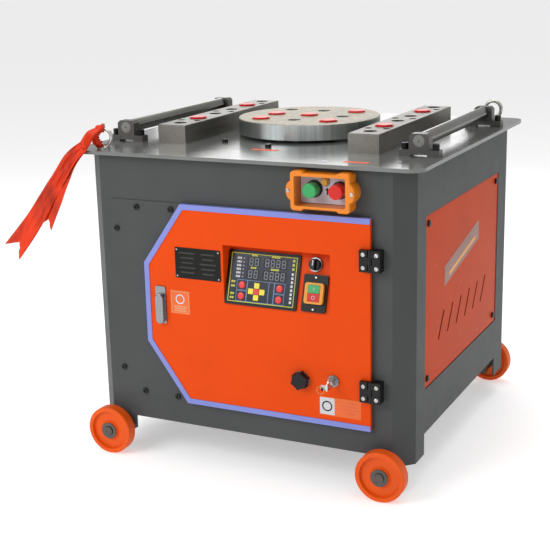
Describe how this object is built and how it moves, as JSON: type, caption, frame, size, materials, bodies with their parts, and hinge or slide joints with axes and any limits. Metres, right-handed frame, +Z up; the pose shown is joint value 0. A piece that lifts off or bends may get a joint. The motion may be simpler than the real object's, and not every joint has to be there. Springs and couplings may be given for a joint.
{
  "type": "rebar bender",
  "caption": "Electric rebar bending machine: grey wheeled cabinet with an orange hinged door, steel table, round work disc with pin holes, hole bars and feed rollers.",
  "frame": {"origin": "on the floor, under the centre of the table and of the bounding box", "axes": "+Z up out of the table, +X to the right seen from the door side, +Y from the door to the rear"},
  "size_m": [1.0292, 0.848, 0.7625],
  "materials": {
    "grey_paint": "satin",
    "orange_paint": "gloss",
    "panel_orange": "gloss",
    "edging_violet": "gloss",
    "disc_steel": "polished",
    "bar_steel": "satin",
    "roller_steel": "polished",
    "zinc_steel": "satin",
    "black_steel": "satin",
    "machine_steel": "satin",
    "cast_case": "matte",
    "motor_paint": "satin",
    "belt_rubber": "matte",
    "wheel_orange": "satin",
    "guard_orange": "gloss",
    "red_plastic": "gloss",
    "green_plastic": "gloss",
    "amber_plastic": "gloss",
    "yellow_plastic": "satin",
    "black_plastic": "satin",
    "lavender_plate": "satin",
    "chrome_trim": "polished",
    "ribbon_fabric": "satin"
  },
  "bodies": {
    "cabinet": {"access_panel": "grey_paint", "axles": "zinc_steel", "bar_plugs": "red_plastic", "base_rails": "grey_paint", "black_screws": "black_steel", "button_guard": "guard_orange", "button_plate": "lavender_plate", "cabinet_sheets": "grey_paint", "corner_posts": "grey_paint", "electrical_box": "lavender_plate", "eye_bolts": "zinc_steel", "front_frame": "grey_paint", "gearbox_case": "cast_case", "gearbox_cover": "cast_case", "hinge_blocks_frame": "black_steel", "hole_bar_left": "bar_steel", "hole_bar_right": "bar_steel", "motor_body": "motor_paint", "rear_panel": "grey_paint", "ribbon_tail_long": "ribbon_fabric", "ribbon_tail_short": "ribbon_fabric", "ribbon_wrap": "ribbon_fabric", "roller_brackets": "black_steel", "side_panel_left": "panel_orange", "side_panel_right": "panel_orange", "signal_lamp": "amber_plastic", "table_plate": "grey_paint", "v_belts": "belt_rubber"},
    "disc": {"work_disc": "disc_steel", "disc_plugs": "red_plastic", "spindle": "machine_steel", "main_gear": "machine_steel"},
    "layshaft": {"layshaft": "machine_steel", "lay_gear": "machine_steel"},
    "input_shaft": {"input_shaft": "machine_steel", "driven_pulley": "machine_steel"},
    "motor_rotor": {"motor_shaft": "machine_steel", "motor_pulley": "machine_steel"},
    "door": {"door_skin": "orange_paint", "door_edging": "edging_violet", "hinge_blocks_door": "black_steel", "control_panel": "black_plastic", "switch_plate": "black_plastic", "switch_box": "yellow_plastic", "latch_base": "chrome_trim", "lock_barrel": "chrome_trim"},
    "latch": {"latch_handle": "chrome_trim"},
    "selector": {"selector_knob": "black_plastic"},
    "switch_on": {"switch_on_button": "green_plastic"},
    "switch_off": {"switch_off_button": "red_plastic"},
    "start": {"start_button": "green_plastic"},
    "stop": {"stop_button": "red_plastic"},
    "key": {"key": "chrome_trim"},
    "cap": {"socket_cap": "black_plastic"},
    "wheel_fl": {"wheel_front_left": "wheel_orange"},
    "wheel_fr": {"wheel_front_right": "wheel_orange"},
    "wheel_rl": {"wheel_rear_left": "wheel_orange"},
    "wheel_rr": {"wheel_rear_right": "wheel_orange"},
    "roller_l": {"roller_left": "roller_steel"},
    "roller_r": {"roller_right": "roller_steel"}
  },
  "joints": [
    {"name": "disc_spin", "type": "hinge", "parent": "cabinet", "child": "disc", "pos_m": [0, 0, 0.7], "axis": [0, 0, 1], "continuous": true},
    {"name": "layshaft_spin", "type": "hinge", "parent": "cabinet", "child": "layshaft", "pos_m": [-0.144, 0, 0.6], "axis": [0, 0, 1], "continuous": true},
    {"name": "input_spin", "type": "hinge", "parent": "cabinet", "child": "input_shaft", "pos_m": [-0.144, 0.09375, 0.6], "axis": [0, 0, 1], "continuous": true},
    {"name": "motor_spin", "type": "hinge", "parent": "cabinet", "child": "motor_rotor", "pos_m": [0.165, 0.175, 0.5], "axis": [0, 0, 1], "continuous": true},
    {"name": "door_hinge", "type": "hinge", "parent": "cabinet", "child": "door", "pos_m": [0.3085, -0.395, 0.376], "axis": [0, 0, 1], "range_deg": [0, 110]},
    {"name": "latch_turn", "type": "hinge", "parent": "door", "child": "latch", "pos_m": [-0.197, -0.39, 0.383], "axis": [0, -1, 0], "range_deg": [0, 90]},
    {"name": "selector_turn", "type": "hinge", "parent": "door", "child": "selector", "pos_m": [0.172, -0.35599, 0.48936], "axis": [0, -0.9562, 0.2926], "range_deg": [-45, 45]},
    {"name": "switch_on_press", "type": "slide", "parent": "door", "child": "switch_on", "axis": [0, 0.9562, -0.2926], "range_m": [0, 0.003], "stiffness_N_per_m": 600},
    {"name": "switch_off_press", "type": "slide", "parent": "door", "child": "switch_off", "axis": [0, 0.9562, -0.2926], "range_m": [0, 0.003], "stiffness_N_per_m": 600},
    {"name": "start_press", "type": "slide", "parent": "cabinet", "child": "start", "axis": [0, 1, 0], "range_m": [0, 0.004], "stiffness_N_per_m": 600},
    {"name": "stop_press", "type": "slide", "parent": "cabinet", "child": "stop", "axis": [0, 1, 0], "range_m": [0, 0.004], "stiffness_N_per_m": 600},
    {"name": "key_turn", "type": "hinge", "parent": "door", "child": "key", "pos_m": [0.222, -0.39, 0.246], "axis": [0, -1, 0], "range_deg": [0, 90]},
    {"name": "cap_turn", "type": "hinge", "parent": "door", "child": "cap", "pos_m": [0.147, -0.39, 0.239], "axis": [0, 1, 0], "continuous": true},
    {"name": "wheel_fl_spin", "type": "hinge", "parent": "cabinet", "child": "wheel_fl", "pos_m": [-0.338, -0.4065, 0.056], "axis": [0, 1, 0], "continuous": true},
    {"name": "wheel_fr_spin", "type": "hinge", "parent": "cabinet", "child": "wheel_fr", "pos_m": [0.338, -0.4065, 0.056], "axis": [0, 1, 0], "continuous": true},
    {"name": "wheel_rl_spin", "type": "hinge", "parent": "cabinet", "child": "wheel_rl", "pos_m": [-0.338, 0.4065, 0.056], "axis": [0, 1, 0], "continuous": true},
    {"name": "wheel_rr_spin", "type": "hinge", "parent": "cabinet", "child": "wheel_rr", "pos_m": [0.338, 0.4065, 0.056], "axis": [0, 1, 0], "continuous": true},
    {"name": "roller_l_spin", "type": "hinge", "parent": "cabinet", "child": "roller_l", "pos_m": [-0.359, 0, 0.745], "axis": [0, 1, 0], "continuous": true},
    {"name": "roller_r_spin", "type": "hinge", "parent": "cabinet", "child": "roller_r", "pos_m": [0.359, 0, 0.745], "axis": [0, 1, 0], "continuous": true}
  ],
  "couplings": [
    {"joint": "layshaft_spin", "follows": "disc_spin", "ratio": -3.8},
    {"joint": "input_spin", "follows": "disc_spin", "ratio": 15.2},
    {"joint": "motor_spin", "follows": "disc_spin", "ratio": 45.6}
  ]
}
